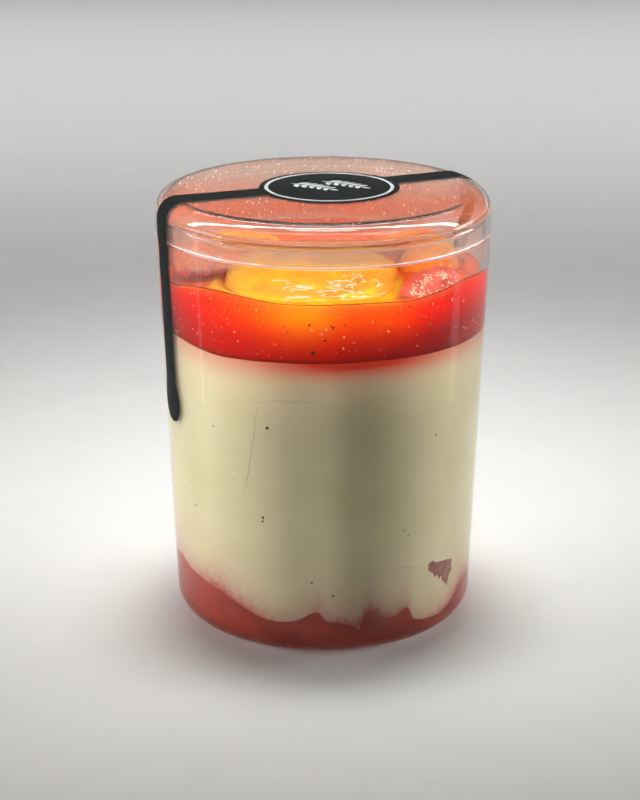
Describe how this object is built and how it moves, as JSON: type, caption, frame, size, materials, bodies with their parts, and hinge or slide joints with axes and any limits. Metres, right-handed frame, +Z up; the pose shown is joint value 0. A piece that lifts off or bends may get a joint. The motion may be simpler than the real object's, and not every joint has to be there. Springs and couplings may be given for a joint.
{
  "type": "panna cotta dessert in a lidded jar",
  "caption": "Panna cotta dessert in a round clear plastic jar with a push-on lid: cooked strawberry base, white set cream, red fruit jelly and cut fruit on top, sealed by a dark paper strip.",
  "frame": {"origin": "centre of the jar's flat base, on the surface it stands on", "axes": "+Z up along the jar's axis, -Y towards the front, +X to the right seen from the front"},
  "size_m": [0.075, 0.075, 0.0992],
  "materials": {
    "clear_plastic": "clear injection-moulded polystyrene, glossy",
    "seal_paper": "printed self-adhesive paper, satin",
    "set_cream": "smooth set cream, soft sheen",
    "cooked_strawberry": "wet cooked fruit",
    "strawberry": "wet cut fruit",
    "fruit_jelly": "clear set jelly, glossy",
    "mango": "wet ripe fruit",
    "orange": "wet cut fruit"
  },
  "bodies": {
    "root": {"jar": "clear_plastic", "lid": "clear_plastic", "seal_strip": "seal_paper", "strawberry_base": "cooked_strawberry", "panna_cotta": "set_cream", "strawberry_scrap": "strawberry", "fruit_jelly": "fruit_jelly", "mango_slab": "mango", "mango_dice_back": "mango", "orange_wedge": "orange", "orange_dice_back": "orange", "strawberry_half_right": "strawberry", "strawberry_half_left": "strawberry", "strawberry_half_back": "strawberry", "strawberry_half_rear": "strawberry"}
  },
  "joints": []
}
